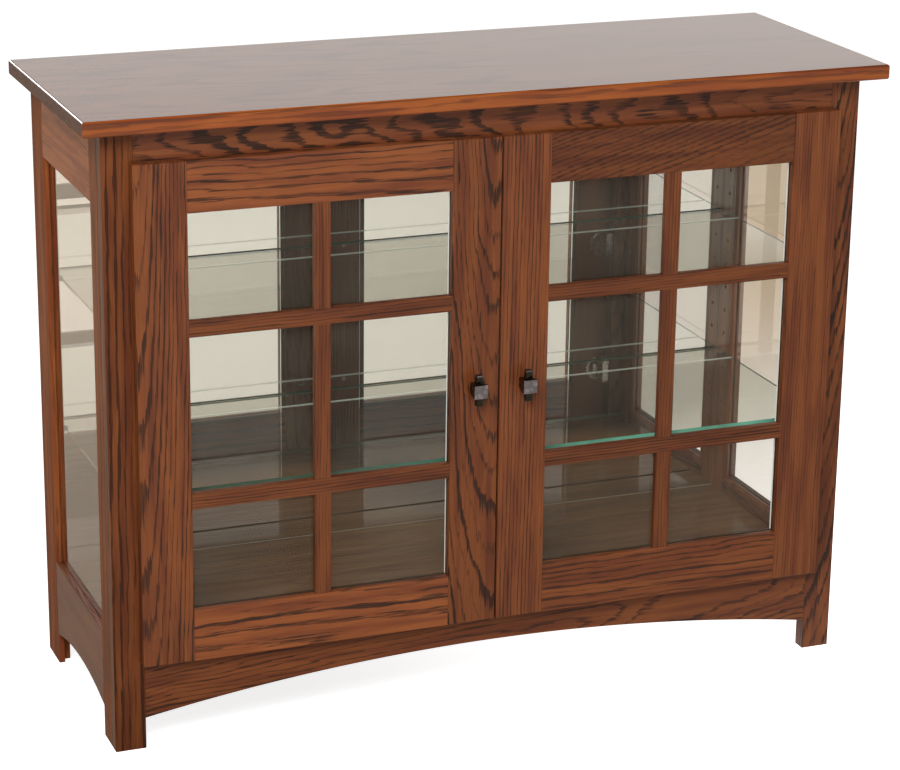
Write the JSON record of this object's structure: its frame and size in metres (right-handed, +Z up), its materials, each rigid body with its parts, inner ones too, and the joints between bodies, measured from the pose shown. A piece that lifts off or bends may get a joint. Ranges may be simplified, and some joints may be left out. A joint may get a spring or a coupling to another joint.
{
  "type": "curio console",
  "caption": "Waist-high display cabinet with glazed overlay doors, glazed sides, a mirrored back, glass shelves on pins, an overhanging top and legs joined by shallow arches.",
  "frame": {"origin": "middle of the footprint of the whole part, on the floor", "axes": "+X to the right seen from the front, +Z up, the doors face -Y"},
  "size_m": [1.208, 0.4444, 0.927],
  "materials": {
    "stained_oak": "open-grained oak in a dark reddish-brown stain under a satin lacquer",
    "clear_glass": "clear polished sheet",
    "shelf_glass": "clear polished sheet with green edges",
    "silvered_mirror": "silvered behind clear glass",
    "backing_board": "plain board",
    "hammered_iron": "hammered, dark, slightly glossy",
    "hinge_steel": "nickel-plated",
    "bronzed_pin": "dark bronzed",
    "bumper_rubber": "clear soft pad"
  },
  "bodies": {
    "case": {"top_panel": "stained_oak", "left_face_stile": "stained_oak", "right_face_stile": "stained_oak", "face_top_rail": "stained_oak", "front_apron": "stained_oak", "left_side_front_stile": "stained_oak", "left_side_back_stile": "stained_oak", "left_side_top_rail": "stained_oak", "left_side_apron": "stained_oak", "left_side_glass": "clear_glass", "left_side_glass_stop": "stained_oak", "right_side_front_stile": "stained_oak", "right_side_back_stile": "stained_oak", "right_side_top_rail": "stained_oak", "right_side_apron": "stained_oak", "right_side_glass": "clear_glass", "right_side_glass_stop": "stained_oak", "back_top_rail": "stained_oak", "back_bottom_rail": "stained_oak", "back_panel": "backing_board", "mirror": "silvered_mirror", "deck_panel": "stained_oak", "lower_glass_shelf": "shelf_glass", "upper_glass_shelf": "shelf_glass", "shelf_pin_lower_left_front": "bronzed_pin", "shelf_pin_lower_left_back": "bronzed_pin", "shelf_pin_lower_right_front": "bronzed_pin", "shelf_pin_lower_right_back": "bronzed_pin", "shelf_pin_upper_left_front": "bronzed_pin", "shelf_pin_upper_left_back": "bronzed_pin", "shelf_pin_upper_right_front": "bronzed_pin", "shelf_pin_upper_right_back": "bronzed_pin", "hinge_arm_left_lower": "hinge_steel", "hinge_arm_left_upper": "hinge_steel", "hinge_arm_right_lower": "hinge_steel", "hinge_arm_right_upper": "hinge_steel"},
    "door_left": {"left_door_hinge_stile": "stained_oak", "left_door_lock_stile": "stained_oak", "left_door_top_rail": "stained_oak", "left_door_bottom_rail": "stained_oak", "left_door_muntin_grid": "stained_oak", "left_door_glass": "clear_glass", "left_door_glass_stop": "stained_oak", "left_door_pull": "hammered_iron", "left_door_pull_screw": "hinge_steel", "left_door_hinge_cup_lower": "hinge_steel", "left_door_hinge_cup_upper": "hinge_steel", "left_door_bumper": "bumper_rubber"},
    "door_right": {"right_door_hinge_stile": "stained_oak", "right_door_lock_stile": "stained_oak", "right_door_top_rail": "stained_oak", "right_door_bottom_rail": "stained_oak", "right_door_muntin_grid": "stained_oak", "right_door_glass": "clear_glass", "right_door_glass_stop": "stained_oak", "right_door_pull": "hammered_iron", "right_door_pull_screw": "hinge_steel", "right_door_hinge_cup_lower": "hinge_steel", "right_door_hinge_cup_upper": "hinge_steel", "right_door_bumper": "bumper_rubber"}
  },
  "joints": [
    {"name": "left_door_hinge", "type": "hinge", "parent": "case", "child": "door_left", "pos_m": [-0.5345, -0.19525, 0.4975], "axis": [0, 0, -1], "range_deg": [0, 105]},
    {"name": "right_door_hinge", "type": "hinge", "parent": "case", "child": "door_right", "pos_m": [0.5345, -0.19525, 0.4975], "axis": [0, 0, 1], "range_deg": [0, 105]}
  ]
}
